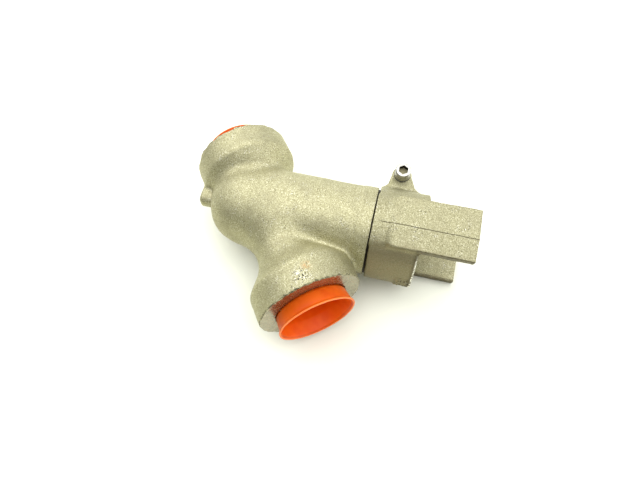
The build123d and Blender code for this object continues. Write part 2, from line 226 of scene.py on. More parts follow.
def run_outside(x, r, torn):
    """Both hubs and the tube between them, cut off at the two faces."""
    inlet = hub_outside(x, r, INLET_FACE, -1, torn)
    outlet = hub_outside(x, r, OUTLET_FACE, 1, torn)
    tube = smooth_min(r - RUN_R, np.minimum(inlet, outlet), SHOULDER_FILLET)
    return np.maximum(tube, np.maximum(INLET_FACE - x, x - OUTLET_FACE))


def leg_outside(r, s):
    """Domed barrel that swells into the neck, its slight waist, the collar, and the knob."""
    radius = BARREL_R + (NECK_R - BARREL_R) * step_between(s, -SWELL, SWELL)
    radius = radius - WAIST_DEPTH * step_between(s, *WAIST)
    collar = step_between(s, COLLAR_START - COLLAR_HALF, COLLAR_START + COLLAR_HALF)
    radius = radius + COLLAR_STEP * collar
    shaft = np.where(s < DOME_CENTRE, np.hypot(r, s - DOME_CENTRE), r) - radius
    dome_and_neck = np.maximum(shaft, s - NECK_END)
    knob = smooth_max(r - KNOB_R, KNOB_END - s, KNOB_ROUND)
    knob = np.maximum(knob, s - DOME_CENTRE)
    return smooth_min(dome_and_neck, knob, KNOB_FILLET)


def forged_outside(x, y, z):
    """Rough outside of the body: run and leg, joined by a fillet that is tighter in two places."""
    ears, arms, s = leg_coordinates(x, y, z)
    fine = lattice_noise(x, y, z, size=4.5, seed=2)
    run = run_outside(x, np.hypot(y, z), fine)
    leg = leg_outside(np.hypot(ears, arms), s)
    crotch = step_between(x, *CROTCH_ALONG) * step_between(-ears, *CROTCH_SIDE)
    inlet_side = step_between(-x, *INLET_SIDE)
    tighter = (OPEN_FILLET - CROTCH_FILLET) * crotch
    tighter = np.maximum(tighter, (OPEN_FILLET - INLET_FILLET) * inlet_side)
    whole = smooth_min(run, leg, OPEN_FILLET - tighter)
    broad = lattice_noise(x, y, z, size=16, seed=1)
    return whole + (0.24 * broad + 0.09 * fine)


def hub_bore(x, r, face, out, end):
    """Socket, taper and port of one hub; end is the port's depth behind the face."""
    depth = (face - x) * out
    mouth = SOCKET_R + HUB_CHAMFER
    corners = [
        (PAST_AXIS, end),
        (PORT_R, end),
        (PORT_R, SOCKET_DEPTH + PORT_TAPER),
        (PIPE_BORE_R, SOCKET_DEPTH),
        (SOCKET_R, SOCKET_DEPTH),
        (SOCKET_R, HUB_CHAMFER),
        (mouth, 0),
        (mouth, -OVERRUN),
        (PAST_AXIS, -OVERRUN),
    ]
    return outline_distance(r, depth, corners)


def body_inside(x, y, z):
    """Every bored passage of the body."""
    ears, arms, s = leg_coordinates(x, y, z)
    r = np.hypot(y, z)
    inlet = hub_bore(x, r, INLET_FACE, -1, -INLET_FACE)
    inlet = np.minimum(inlet, np.sqrt(x * x + r * r) - PORT_R)
    outlet = hub_bore(x, r, OUTLET_FACE, 1, OUTLET_FACE - OUTLET_PORT_START)
    across = np.hypot(ears, arms)
    corners = [
        (PAST_AXIS, SUMP_CENTRE),
        (SUMP_R, SUMP_CENTRE),
        (SUMP_R, SEAT_START),
        (SEAT_R, SEAT_START),
        (SEAT_R, CHAMBER_START),
        (CHAMBER_R, CHAMBER_START),
        (CHAMBER_R, LEDGE),
        (COVER_BORE_R, LEDGE),
        (COVER_BORE_R, THREAD_END + OVERRUN),
        (PAST_AXIS, THREAD_END + OVERRUN),
    ]
    leg = outline_distance(across, s, corners)
    sump = np.hypot(across, s - SUMP_CENTRE) - SUMP_R
    return np.minimum(np.minimum(inlet, outlet), np.minimum(leg, sump))


def body_distance(x, y, z):
    """The forging cut off at the neck, with the spigot that carries the thread, bored out."""
    ears, arms, s = leg_coordinates(x, y, z)
    shoulder_cut = np.maximum(forged_outside(x, y, z), s - NECK_END)
    spigot = np.hypot(ears, arms) - SPIGOT_R
    spigot = np.maximum(spigot, np.maximum(s - THREAD_END, SPIGOT_START - s))
    hollow = np.maximum(np.minimum(shoulder_cut, spigot), -body_inside(x, y, z))
    return np.maximum(hollow, np.maximum(INLET_FACE - x, x - OUTLET_FACE))


# ---------------------------------------------------------------- meshes from distance fields

# How firmly a mesh point is held to the middle of its cell, and how far it may go, in cells.
POINT_HOLD = 0.03
POINT_TRAVEL = 0.8


def crossings(distance, low, high, step):
    """Where grid edges cross the surface, with the four cells round each edge as a quad."""
    axes = [np.arange(a, b + step, step, dtype=np.float32) for a, b in zip(low, high, strict=True)]
    d = distance(*np.meshgrid(*axes, indexing="ij")).astype(np.float32)
    inside = d < 0
    last_cell = np.array(d.shape) - 2
    points, cells = [], []
    for axis in range(3):
        u, v = (axis + 1) % 3, (axis + 2) % 3
        along = np.eye(3, dtype=int)[axis]
        start = np.argwhere(np.diff(inside, axis=axis))
        start = start[(start[:, u] > 0) & (start[:, v] > 0)]
        start = start[(start[:, u] <= last_cell[u]) & (start[:, v] <= last_cell[v])]
        here, there = d[tuple(start.T)], d[tuple((start + along).T)]
        share = here / (here - there)
        points.append((start + share[:, None] * along) * step + np.array(low))
        ring = []
        for du, dv in ((0, 0), (-1, 0), (-1, -1), (0, -1)):
            cell = start.copy()
            cell[:, u] += du
            cell[:, v] += dv
            ring.append(np.ravel_multi_index(tuple(cell.T), d.shape))
        ring = np.stack(ring, 1)
        flip = here > 0
        ring[flip] = ring[flip][:, ::-1]
        cells.append(ring)
    return np.concatenate(points), np.concatenate(cells)


def normals_at(distance, points, reach=0.12):
    """Unit gradients of a distance field."""
    x, y, z = points.T
    steps = []
    for shift in np.eye(3) * reach:
        ahead = distance(x + shift[0], y + shift[1], z + shift[2])
        steps.append(ahead - distance(x - shift[0], y - shift[1], z - shift[2]))
    slope = np.stack(steps, 1)
    return slope / np.maximum(np.linalg.norm(slope, axis=1, keepdims=True), 1e-9)


def surface_mesh(distance, low, high, step):
    """Dual contouring: one point per crossed cell, set where the planes through it meet.

    Flat faces stay flat and sharp edges stay sharp, because each point is the best meeting
    place of the surface planes found on the edges of its cell.
    """
    points, cells = crossings(distance, low, high, step)
    normals = normals_at(distance, points)
    used, quads = np.unique(cells, return_inverse=True)
    quads = quads.reshape(cells.shape)
    corner = quads.ravel()
    count = np.bincount(corner)[:, None]
    repeated = np.repeat(points, 4, axis=0)
    middle = np.stack([np.bincount(corner, repeated[:, i]) for i in range(3)], 1) / count
    across = np.repeat(normals, 4, axis=0)
    height = np.sum(across * (repeated - middle[corner]), axis=1)
    stiffness = np.empty((len(used), 3, 3))
    pull = np.empty((len(used), 3))
    for i in range(3):
        pull[:, i] = np.bincount(corner, across[:, i] * height)
        for j in range(3):
            stiffness[:, i, j] = np.bincount(corner, across[:, i] * across[:, j])
    stiffness += np.eye(3) * POINT_HOLD * count[:, :, None]
    move = np.linalg.solve(stiffness, pull[..., None])[..., 0]
    farthest = POINT_TRAVEL * step
    return middle + np.clip(move, -farthest, farthest), quads


def mesh_object(name, points, faces, place=None):
    """A mesh object from points in mm and faces as point numbers, kept inside the CAD box."""
    mesh = bpy.data.meshes.new(name)
    points = np.asarray(points, float) * MM
    if place is not None:
        points = points @ np.array(place.to_3x3()).T + np.array(place.translation)
    points = np.clip(points, *cad_box)
    mesh.from_pydata(points.tolist(), [], [list(map(int, face)) for face in faces])
    mesh.validate()
    mesh.update()
    made = bpy.data.objects.new(name, mesh)
    bpy.context.scene.collection.objects.link(made)
    for polygon in mesh.polygons:
        polygon.use_smooth = True
    return made


def field_object(name, distance, low, high, step, place=None):
    """The surface of a distance field as an object, and its points in the field's own mm."""
    points, quads = surface_mesh(distance, low, high, step)
    made = mesh_object(name, points, quads, place)
    sharpen(made, 38)
    return made, points


def sharpen(made, angle):
    """Bends sharper than angle, in degrees, stay crisp, and gentler ones shade smoothly."""
    made.data.set_sharp_from_angle(angle=math.radians(angle))


# ---------------------------------------------------------------- yoke, in mm along the leg's axes

YOKE_START = YOKE_LOW[2]
YOKE_END = YOKE_HIGH[2]
RING_END = COVER_END + 2.5
RING_R = 42.0
RING_EDGE = 1.2
# How far the ring's end is chipped back opposite the ears, and where that begins and is full.
RING_CHIPPED = 2.6
CHIPPED_FROM = (8.0, 24.0)
TAPPED_R = THREAD_R + 0.3
RECESS_R = 31.0
LIP_R = 24.9
LIP_START = leg_box("thrust_washer")[1][2]
LIP_END = leg_box("retaining_ring")[0][2] - 0.3
SLIT = 3.0
SLIT_START = 5.0
ARM_EAR_SIDE = 23.4
ARM_PLAIN_SIDE = 21.9
ARM_CROWN = 2.5
ARM_EDGE_AT = YOKE_HIGH[1] - ARM_CROWN
ARM_THICKNESS = 7.5
ARM_SIDE_ROUND = 0.9
ARM_INNER_ROUND = 1.2
ARM_END_ROUND = 0.8
ARM_RIDGE_AT = -3.0
# From here on the arms grow out of the ring, this much for each mm along the leg.
ARM_RISE_START = 113.5
ARM_RISE = 1.1
YOKE_FILLET = 3.0
EAR_THICKNESS = WASHER_LOW[1] - SLIT / 2
EAR_REACH = (WASHER_LOW[0] + WASHER_HIGH[0]) / 2
EAR_AT = (WASHER_LOW[2] + WASHER_HIGH[2]) / 2
EAR_TIP_R = 9.0
EAR_ROUND = 2.0
EAR_INNER = RING_R - 8
EAR_WAIST_AT = RING_R + 4.0
# Half widths of the ear at its root and at its waist, towards the body and away from it.
EAR_ROOT = (15.0, 19.0)
EAR_WAIST = (11.0, 14.0)
SCREW_HOLE_R = 5.2
# The ragged stub of a lug that was broken off the ring: where it lies and how far it stands out.
LUG_START = 127.0
LUG_SIDES = (-15.0, 13.0)
LUG_EDGE = 3.0
LUG_FROM = (20.0, 30.0)
LUG_HEIGHT = 0.8
LUG_RAGGED = 0.9


def arm_outside(ears, arms, s, r):
    """Both arms: the lower one is the upper one turned half a turn about the leg."""
    side = np.where(arms < 0, -1.0, 1.0)
    across = ears * side
    height = arms * side
    facets = []
    for edge, sign in ((-ARM_PLAIN_SIDE, -1), (ARM_EAR_SIDE, 1)):
        width = abs(edge - ARM_RIDGE_AT)
        fall = (across - edge) * sign * ARM_CROWN + (height - ARM_EDGE_AT) * width
        facets.append(fall / math.hypot(ARM_CROWN, width))
    sides = np.maximum(across - ARM_EAR_SIDE, -ARM_PLAIN_SIDE - across)
    bar = smooth_max(np.maximum(*facets), sides, ARM_SIDE_ROUND)
    bar = smooth_max(bar, ARM_EDGE_AT - ARM_THICKNESS - height, ARM_INNER_ROUND)
    bar = smooth_max(bar, s - YOKE_END, ARM_END_ROUND)
    rise = (r - RING_R - ARM_RISE * np.maximum(s - ARM_RISE_START, 0)) / math.hypot(1, ARM_RISE)
    return smooth_max(bar, rise, YOKE_FILLET)


def ear_outside(ears, arms, s):
    """Both ears as one block: a tapered tongue with a round tip."""
    corners = [
        (EAR_INNER, EAR_AT - EAR_ROOT[0]),
        (RING_R, EAR_AT - EAR_ROOT[0]),
        (EAR_WAIST_AT, EAR_AT - EAR_WAIST[0]),
        (EAR_REACH, EAR_AT - EAR_TIP_R),
        (EAR_REACH, EAR_AT + EAR_TIP_R),
        (EAR_WAIST_AT, EAR_AT + EAR_WAIST[1]),
        (RING_R, EAR_AT + EAR_ROOT[1]),
        (EAR_INNER, EAR_AT + EAR_ROOT[1]),
    ]
    tongue = outline_distance(ears, s, corners)
    tip = np.hypot(ears - EAR_REACH, s - EAR_AT) - EAR_TIP_R
    sides = np.abs(arms) - EAR_THICKNESS - SLIT / 2
    return smooth_max(np.minimum(tongue, tip), sides, EAR_ROUND)


def torn_lug(ears, arms, s):
    """1 on the ragged stub of the lug that was broken off the ring, opposite the ears."""
    low, high = LUG_SIDES
    along = step_between(s, LUG_START, LUG_START + LUG_EDGE)
    along = along * step_between(-s, 1 - RING_END, LUG_EDGE - RING_END)
    across = step_between(arms, low, low + LUG_EDGE) * step_between(-arms, -high, LUG_EDGE - high)
    return along * across * step_between(-ears, *LUG_FROM)


def yoke_outside(ears, arms, s):
    """Rough outside of the yoke: ring, arms, ears and the ragged stub of the torn lug."""
    r = np.hypot(ears, arms)
    half = (RING_END - RING_CHIPPED * step_between(-ears, *CHIPPED_FROM) - YOKE_START) / 2
    ring = smooth_max(r - RING_R, np.abs(s - YOKE_START - half) - half, RING_EDGE)
    arm = np.maximum(arm_outside(ears, arms, s, r), YOKE_START - s)
    whole = smooth_min(ring, arm, YOKE_FILLET)
    whole = smooth_min(whole, ear_outside(ears, arms, s), YOKE_FILLET)
    broad = lattice_noise(ears, arms, s, size=12, seed=3)
    fine = lattice_noise(ears, arms, s, size=3.2, seed=4)
    ragged = LUG_HEIGHT + LUG_RAGGED * lattice_noise(ears, arms, s, size=1.7, seed=5)
    return whole + (0.14 * broad + 0.07 * fine) - torn_lug(ears, arms, s) * ragged


def yoke_inside(ears, arms, s):
    """Threaded bore, lip, recess, slit, screw hole and the spot face under the screw."""
    r = np.hypot(ears, arms)
    arm_inner = ARM_EDGE_AT - ARM_THICKNESS - 1
    corners = [
        (PAST_AXIS, YOKE_START - OVERRUN),
        (TAPPED_R + 1, YOKE_START - OVERRUN),
        (TAPPED_R + 1, YOKE_START),
        (TAPPED_R, YOKE_START + 1),
        (TAPPED_R, LIP_START),
        (LIP_R, LIP_START),
        (LIP_R, LIP_END),
        (RECESS_R, LIP_END),
        (RECESS_R, RING_END),
        (arm_inner, RING_END),
        (arm_inner, YOKE_END + OVERRUN),
        (PAST_AXIS, YOKE_END + OVERRUN),
    ]
    bore = outline_distance(r, s, corners)
    slit = np.maximum(np.abs(arms) - SLIT / 2, SLIT_START - ears)
    from_screw = np.hypot(ears - EAR_REACH, s - EAR_AT)
    hole = from_screw - SCREW_HOLE_R
    spot = np.maximum(from_screw - EAR_TIP_R, SLIT / 2 + EAR_THICKNESS - arms)
    return np.minimum(np.minimum(bore, slit), np.minimum(hole, spot))


def yoke_distance(ears, arms, s):
    """The forging less everything that is cut out of it."""
    return np.maximum(yoke_outside(ears, arms, s), -yoke_inside(ears, arms, s))


# ---------------------------------------------------------------- turned and threaded meshes

# The clamp screw is 3/8-16 UNC and the drain plug is M20 x 1.5; radii are those of the shanks.
SCREW_R = 4.45
SCREW_PITCH = 1.5875
PLUG_R = 9.7
PLUG_PITCH = 1.5
SMALL_THREAD_DEPTH = 0.8


def rounded(corners, radius):
    """The same closed outline with each corner replaced by a small arc-like curve."""
    count = 4
    made = []
    for i, here in enumerate(corners):
        here = np.array(here, float)
        before = np.array(corners[i - 1], float) - here
        after = np.array(corners[(i + 1) % len(corners)], float) - here
        reach = min(radius, np.linalg.norm(before) * 0.45, np.linalg.norm(after) * 0.45)
        start = here + before / np.linalg.norm(before) * reach
        end = here + after / np.linalg.norm(after) * reach
        for step in range(count + 1):
            t = step / count
            made.append(tuple((1 - t) ** 2 * start + 2 * t * (1 - t) * here + t * t * end))
    return made


def ring_faces(around, rows):
    """Quads that join a closed outline of rows points to the next, all the way round."""
    faces = []
    for i in range(around):
        j = (i + 1) % around
        for k in range(rows):
            n = (k + 1) % rows
            faces.append((i * rows + k, j * rows + k, j * rows + n, i * rows + n))
    return faces


def turned(name, profile, place, around=128, warp=None):
    """Closed solid of revolution about local Z from a closed (radius, height) outline in mm."""
    turn = np.linspace(0, 2 * math.pi, around, endpoint=False)
    outline = np.array(profile, float)
    points = []
    for angle in turn:
        r, h = outline[:, 0], outline[:, 1]
        if warp is not None:
            r = r + warp(angle, h)
        points.append(np.stack([r * math.cos(angle), r * math.sin(angle), h], 1))
    made = mesh_object(name, np.concatenate(points), ring_faces(around, len(outline)), place)
    tidy_mesh(made)
    return made


def tidy_mesh(made):
    """Joins points that fell together on the axis and turns every face outwards."""
    shape = bmesh.new()
    shape.from_mesh(made.data)
    bmesh.ops.remove_doubles(shape, verts=shape.verts, dist=0.005 * MM)
    bmesh.ops.dissolve_degenerate(shape, edges=shape.edges, dist=0.001 * MM)
    bmesh.ops.recalc_face_normals(shape, faces=shape.faces)
    for face in shape.faces:
        face.smooth = True
    shape.to_mesh(made.data)
    shape.free()
    made.data.update()


def threaded_sleeve(name, crest, depth, pitch, low, high, inner, place):
    """Tube with a helical thread on its outer wall, fading out at both ends."""
    around = 96
    rows_per_turn = 12
    # Shares of the pitch: how far the flank ends from the middle of the tooth, and its width.
    flank_end, flank_width = 0.42, 0.29
    heights = np.linspace(low, high, int((high - low) / pitch * rows_per_turn) + 1)
    fade = step_between(heights, low, low + pitch)
    fade = fade * step_between(-heights, -high, -high + pitch * 0.6)
    points = []
    for i in range(around):
        share = i / around
        angle = 2 * math.pi * share
        phase = (heights / pitch - share) % 1.0
        tooth = np.clip((flank_end - np.abs(phase - 0.5)) / flank_width, 0, 1)
        wall = crest - depth + depth * tooth * fade
        ring = np.stack([wall * math.cos(angle), wall * math.sin(angle), heights], 1)
        back = [
            (inner * math.cos(angle), inner * math.sin(angle), high),
            (inner * math.cos(angle), inner * math.sin(angle), low),
        ]
        points.append(np.concatenate([ring, back]))
    faces = ring_faces(around, len(points[0]))
    made = mesh_object(name, np.concatenate(points), faces, place)
    tidy_mesh(made)
    sharpen(made, 50)
    return made


# ---------------------------------------------------------------- dust caps, in mm out of the hub face

CAP_PLUG_R = SOCKET_R - 0.35
CAP_PLUG_END = 0.4
CAP_NECK_R = 31.7
# The rolled lip: inside radius of the mouth, radius where the lip begins, and outside radius.
CAP_MOUTH_R = 31.5
CAP_ROLL_R = 32.9
CAP_LIP_R = 34.15
CAP_WALL = 1.4
CAP_INNER_R = CAP_PLUG_R - CAP_WALL
CAP_OUT = 14.0
CAP_DEPTH = 13.0
CAP_OUT_OF_ROUND = 0.25


def cap_outline():
    """Half of the cup: a plug with a bevelled nose, a flared skirt and a rolled lip."""
    corners = [
        (0, -CAP_DEPTH),
        (CAP_PLUG_R - 1.2, -CAP_DEPTH),
        (CAP_PLUG_R, -CAP_DEPTH + 1.4),
        (CAP_PLUG_R, CAP_PLUG_END),
        (CAP_NECK_R, CAP_PLUG_END + 0.1),
        (CAP_ROLL_R, CAP_OUT - 2.6),
        (CAP_LIP_R, CAP_OUT - 1.4),
        (CAP_LIP_R, CAP_OUT - 0.05),
        (CAP_ROLL_R, CAP_OUT - 0.05),
        (CAP_MOUTH_R, CAP_OUT - 2.2),
        (CAP_INNER_R, CAP_PLUG_END),
        (CAP_INNER_R, -CAP_DEPTH + CAP_WALL),
        (0, -CAP_DEPTH + CAP_WALL),
    ]
    return [(r, h) for r, h in rounded(corners, 0.7) if r >= 0]


def out_of_round(angle, height):
    """How far the wall is pulled in, as soft plastic is."""
    share = step_between(height, 1.0, CAP_OUT) * CAP_OUT_OF_ROUND
    return -share * (1 + math.cos(2 * angle + 0.6)) / 2


# ---------------------------------------------------------------- materials

MACHINED_COLOUR = (0.36, 0.335, 0.24)
SCREW_COLOUR = (0.46, 0.45, 0.40)
PIT_COLOUR = (0.045, 0.040, 0.026)
SCAR_COLOUR = (0.075, 0.064, 0.036)

# Where the marks lie, in mm.
OUTSIDE = 60.0
PARTING_START = 110.0
SCARRED_FROM = 25.0
TORN_ARMS = (-9.0, 7.0)
TORN_LEG = (131.0, 140.0)
# Across the arms, the span of the rubbed edge with its painted highlight.
RUB_HIGHLIGHT_ARMS = (-20.0, 33.0)
# Where the painted shade and oil on the ring's side begin, and how far they spread.
SHADE_AND_OIL_START = 17.0
SHADE_AND_OIL_EDGE = 10.0
RIM_WIDTH = 2.2

# The clamp screw's hexagon socket.
KEY_R = 4.5
KEY_DEPTH = 5.0


class Shader:
    """A node material with short calls for the nodes that the finishes below share."""

    def __init__(self, name, **sockets):
        self.material = bpy.data.materials.new(name)
        self.material.use_nodes = True
        self.tree = self.material.node_tree
        self.surface = self.tree.nodes["Principled BSDF"]
        for socket, value in sockets.items():
            self.surface.inputs[socket.replace("_", " ")].default_value = value
        self.place = self.node("ShaderNodeTexCoord").outputs["Object"]
        self.height = None

    def node(self, kind, inputs=(), **settings):
        made = self.tree.nodes.new(kind)
        for key, value in settings.items():
            setattr(made, key, value)
        for key, value in dict(inputs).items():
            if isinstance(value, bpy.types.NodeSocket):
                self.tree.links.new(value, made.inputs[key])
            else:
                made.inputs[key].default_value = value
        return made

    def noise(self, size_mm, detail=3.0, roughness=0.55):
        scale = 1 / (size_mm * MM)
        inputs = {"Vector": self.place, "Scale": scale, "Detail": detail, "Roughness": roughness}
        return self.node("ShaderNodeTexNoise", inputs).outputs["Fac"]

    def cells(self, size_mm):
        """Distance from the nearest of many scattered points, for pits and specks."""
        inputs = {"Vector": self.place, "Scale": 1 / (size_mm * MM)}
        return self.node("ShaderNodeTexVoronoi", inputs).outputs["Distance"]

    def ramp(self, value, stops):
        made = self.node("ShaderNodeValToRGB", {"Fac": value})
        made.color_ramp.interpolation = "EASE"
        elements = made.color_ramp.elements
        for _ in range(len(stops) - 2):
            elements.new(0.5)
        for element, (at, colour) in zip(elements, stops, strict=True):
            element.position = at
            element.color = (*colour, 1)
        return made.outputs["Color"]

    def grey_ramp(self, value, low, high, from_grey=0.0, to_grey=1.0):
        return self.ramp(value, [(low, (from_grey,) * 3), (high, (to_grey,) * 3)])

    def mix(self, share, first, second):
        made = self.node("ShaderNodeMix", {0: share}, data_type="RGBA")
        for index, value in ((6, first), (7, second)):
            if isinstance(value, bpy.types.NodeSocket):
                self.tree.links.new(value, made.inputs[index])
            else:
                made.inputs[index].default_value = (*value, 1)
        return made.outputs[2]

    def math(self, operation, first, second=0.0):
        return self.node("ShaderNodeMath", {0: first, 1: second}, operation=operation).outputs[0]

    def product(self, first, *others):
        for other in others:
            first = self.math("MULTIPLY", first, other)
        return first

    def wander(self, size_mm, reach, *noise_settings):
        """Noise from about -reach / 2 to reach / 2."""
        noise = self.noise(size_mm, *noise_settings)
        return self.product(self.math("SUBTRACT", noise, 0.5), reach)

    def vector(self, operation, first, second=(0, 0, 0)):
        return self.node("ShaderNodeVectorMath", {0: first, 1: second}, operation=operation).outputs

    def bump(self, height, depth_mm, strength):
        """Adds relief: depth_mm is how far the surface moves from height 0 to height 1."""
        inputs = {"Strength": strength, "Distance": depth_mm * MM, "Height": height}
        made = self.node("ShaderNodeBump", inputs)
        if self.height is not None:
            self.tree.links.new(self.height, made.inputs["Normal"])
        self.height = made.outputs["Normal"]
        self.tree.links.new(self.height, self.surface.inputs["Normal"])

    def drive(self, socket, value):
        self.tree.links.new(value, self.surface.inputs[socket])

    def lathe_distance(self, axis):
        """Distance from an axis through the origin, for the tool marks that ring it."""
        along_axis = self.vector("PROJECT", self.place, tuple(axis))[0]
        across = self.vector("SUBTRACT", self.place, along_axis)[0]
        return self.vector("LENGTH", across)["Value"]


def forged_steel(name, marks, tone):
    """Shot-blasted forging: warm grey, fine grain, sparse specks and faint brown stains.

    marks are the ones that belong to one piece: where they are, their colour and their depth.
    """
    s = Shader(name, Metallic=0.95, Roughness=0.6)
    grain = s.noise(0.9, 4.0, 0.75)
    tones = [(0.30, (0.15, 0.134, 0.068)), (0.50, (0.37, 0.35, 0.20)), (0.70, (0.68, 0.66, 0.48))]
    base = s.ramp(grain, [(at, tuple(c * tone for c in colour)) for at, colour in tones])
    clouds = s.grey_ramp(s.noise(15, 3.0, 0.55), 0.40, 0.72, 0.0, 0.45)
    base = s.mix(clouds, base, (0.31, 0.29, 0.175))
    stains = s.grey_ramp(s.noise(5.0, 5.0, 0.7), 0.64, 0.76, 0.0, 0.5)
    base = s.mix(stains, base, (0.22, 0.14, 0.06))
    scarce = s.grey_ramp(s.noise(9, 2.0), 0.54, 0.66)
    pits = s.product(s.grey_ramp(s.cells(1.7), 0.10, 0.28, 1.0, 0.0), scarce)
    base = s.mix(pits, base, PIT_COLOUR)
    bright = s.product(s.grey_ramp(s.cells(1.3), 0.12, 0.26, 1.0, 0.0), scarce)
    base = s.mix(bright, base, (0.85, 0.84, 0.74))
    for place, colour, depth_mm in marks:
        share = place(s)
        base = s.mix(share, base, colour)
        if depth_mm:
            s.bump(share, -depth_mm, 0.8)
    s.drive("Base Color", base)
    s.drive("Roughness", s.grey_ramp(grain, 0.3, 0.75, 0.66, 0.46))
    s.bump(s.noise(2.6, 3.0, 0.6), 0.28, 0.5)
    s.bump(grain, 0.20, 0.7)
    s.bump(pits, -0.30, 0.7)
    return s.material


def along(s, direction):
    """Distance in mm along a direction."""
    return s.math("DIVIDE", s.vector("DOT_PRODUCT", s.place, tuple(direction))["Value"], MM)


def leg_places(s):
    """Distances in mm along the ears, the arms and the leg."""
    return along(s, EARS), along(s, ARMS), along(s, LEG)


def radius_of(s, first, second):
    """Length of the hypotenuse."""
    return s.math("SQRT", s.math("ADD", s.product(first, first), s.product(second, second)))


def within(s, value, low, high, edge):
    """1 where value lies between low and high, falling to 0 over edge."""
    middle, half = (low + high) / 2, (high - low) / 2
    off = s.math("SUBTRACT", s.math("ABSOLUTE", s.math("SUBTRACT", value, middle)), half)
    return s.grey_ramp(s.math("DIVIDE", off, edge), 0.0, 1.0, 1.0, 0.0)


def near(s, point, radius):
    """Grows to 1 towards a point; both are in mm."""
    away = s.vector("DISTANCE", s.place, tuple(c * MM for c in point))["Value"]
    return s.grey_ramp(s.math("DIVIDE", away, radius * MM), 0.25, 1.0, 1.0, 0.0)


def opposite_ears(s, ears, edge):
    """1 on the outer part of the yoke on the side opposite the ears."""
    return within(s, ears, -OUTSIDE, -SCARRED_FROM, edge)


def yoke_scars(s):
    """1 on the die line along the ridge of each arm and in the pits of the torn lug."""
    ears, arms, leg = leg_places(s)
    place = s.math("ADD", s.product(ears, s.math("SIGN", arms)), s.wander(9, 0.8, 2.0))
    half = 0.15
    line = within(s, place, ARM_RIDGE_AT - half, ARM_RIDGE_AT + half, 0.35)
    line = s.product(line, within(s, leg, PARTING_START, YOKE_END + 5, 8), 0.8)
    ragged = s.wander(6, 22, 3.0, 0.6)
    across = within(s, s.math("ADD", arms, ragged), *TORN_ARMS, 4)
    down = within(s, s.math("ADD", leg, ragged), *TORN_LEG, 3)
    torn = s.product(across, down, opposite_ears(s, ears, 3))
    holes = s.product(torn, s.grey_ramp(s.cells(1.6), 0.25, 0.5, 0.9, 0.0))
    return s.math("MAXIMUM", line, holes)


def ring_shade_and_oil(s):
    """Grows to 0.8 on the side of the ring opposite the ears: painted shade on the side away from the light, with
    oil run down it.
    """
    across = s.math("ADD", along(s, -EARS), s.wander(12, 10, 3.0))
    shade_and_oil = s.math("DIVIDE", s.math("SUBTRACT", across, SHADE_AND_OIL_START), SHADE_AND_OIL_EDGE)
    return s.grey_ramp(shade_and_oil, 0.0, 1.0, 0.0, 0.8)


def arm_flank_shade(s):
    """1 on the flank of each arm on the side opposite the ears, beyond the ring: painted shade under the arm's
    edge, unevenly dark.
    """
    ears, leg = along(s, EARS), along(s, LEG)
    flank = within(s, ears, -OUTSIDE, 0.5 - ARM_PLAIN_SIDE, 0.7)
    beyond = within(s, leg, RING_END - 4, YOKE_END + 5, 3)
    uneven_shade = s.grey_ramp(s.noise(3, 3.0, 0.6), 0.35, 0.6, 0.85, 0.5)
    return s.product(flank, beyond, uneven_shade)


def ring_rub_highlight(s):
    """1 along the rubbed, broken edge at the ring's far end, on the side opposite the ears, brightened as a
    painted highlight.
    """
    ears, arms, leg = leg_places(s)
    end = RING_END - RING_CHIPPED
    rim = within(s, leg, end - 0.9, end + 0.1, 0.6)
    side = s.product(opposite_ears(s, ears, 1.5), within(s, arms, *RUB_HIGHLIGHT_ARMS, 2))
    outer = within(s, radius_of(s, ears, arms), RING_R - 1.2, RING_R + 3, 0.6)
    worn = s.grey_ramp(s.noise(2.5, 3.0, 0.7), 0.42, 0.56, 0.15, 1.0)
    return s.product(rim, side, outer, worn)


def hub_pits(s):
    """1 in the dark pits of a knocked patch on top of the outlet hub."""
    return s.product(s.grey_ramp(s.cells(1.5), 0.22, 0.42, 1.0, 0.0), near(s, HUB_KNOCK, 10))


def hub_glints(s):
    """1 on the bright grains of the same patch."""
    return s.product(s.grey_ramp(s.noise(1.0, 2.0, 0.6), 0.55, 0.66), near(s, HUB_KNOCK, 11))


def hub_rust(s):
    """The small brown stain beside the patch."""
    return s.product(s.grey_ramp(s.noise(2.0, 3.0, 0.6), 0.42, 0.60, 0.0, 0.6), near(s, HUB_RUST, 6))


def chipped_rims(s):
    """The broken dark line round the outer edge of each hub face."""
    x = along(s, (1, 0, 0))
    middle = (INLET_FACE + OUTLET_FACE) / 2
    half = (OUTLET_FACE - INLET_FACE) / 2
    depth = s.math("SUBTRACT", half, s.math("ABSOLUTE", s.math("SUBTRACT", x, middle)))
    ragged = s.product(s.grey_ramp(s.noise(4, 3.0, 0.7), 0.40, 0.68), RIM_WIDTH)
    return s.grey_ramp(s.math("SUBTRACT", ragged, depth), 0.0, 0.5, 0.0, 0.75)


def machined_steel(name, axis, colour, roughness=0.3, relief=1.0, pitch_mm=0.45):
    """Turned steel with fine rings round an axis through the origin."""
    s = Shader(name, Metallic=0.9, Roughness=roughness)
    turns = s.product(s.lathe_distance(axis), 2 * math.pi / (pitch_mm * MM))
    darker = tuple(c * 0.75 for c in colour)
    uneven = s.grey_ramp(s.noise(7, 3.0), 0.35, 0.7)
    s.drive("Base Color", s.mix(uneven, colour, darker))
    wear = s.noise(3, 4.0, 0.7)
    s.drive("Roughness", s.grey_ramp(wear, 0.3, 0.7, roughness * 0.75, roughness * 1.3))
    s.bump(s.math("SINE", turns), 0.012 * relief, 0.5)
    s.bump(s.noise(0.7, 2.0), 0.02 * relief, 0.4)
    return s.material


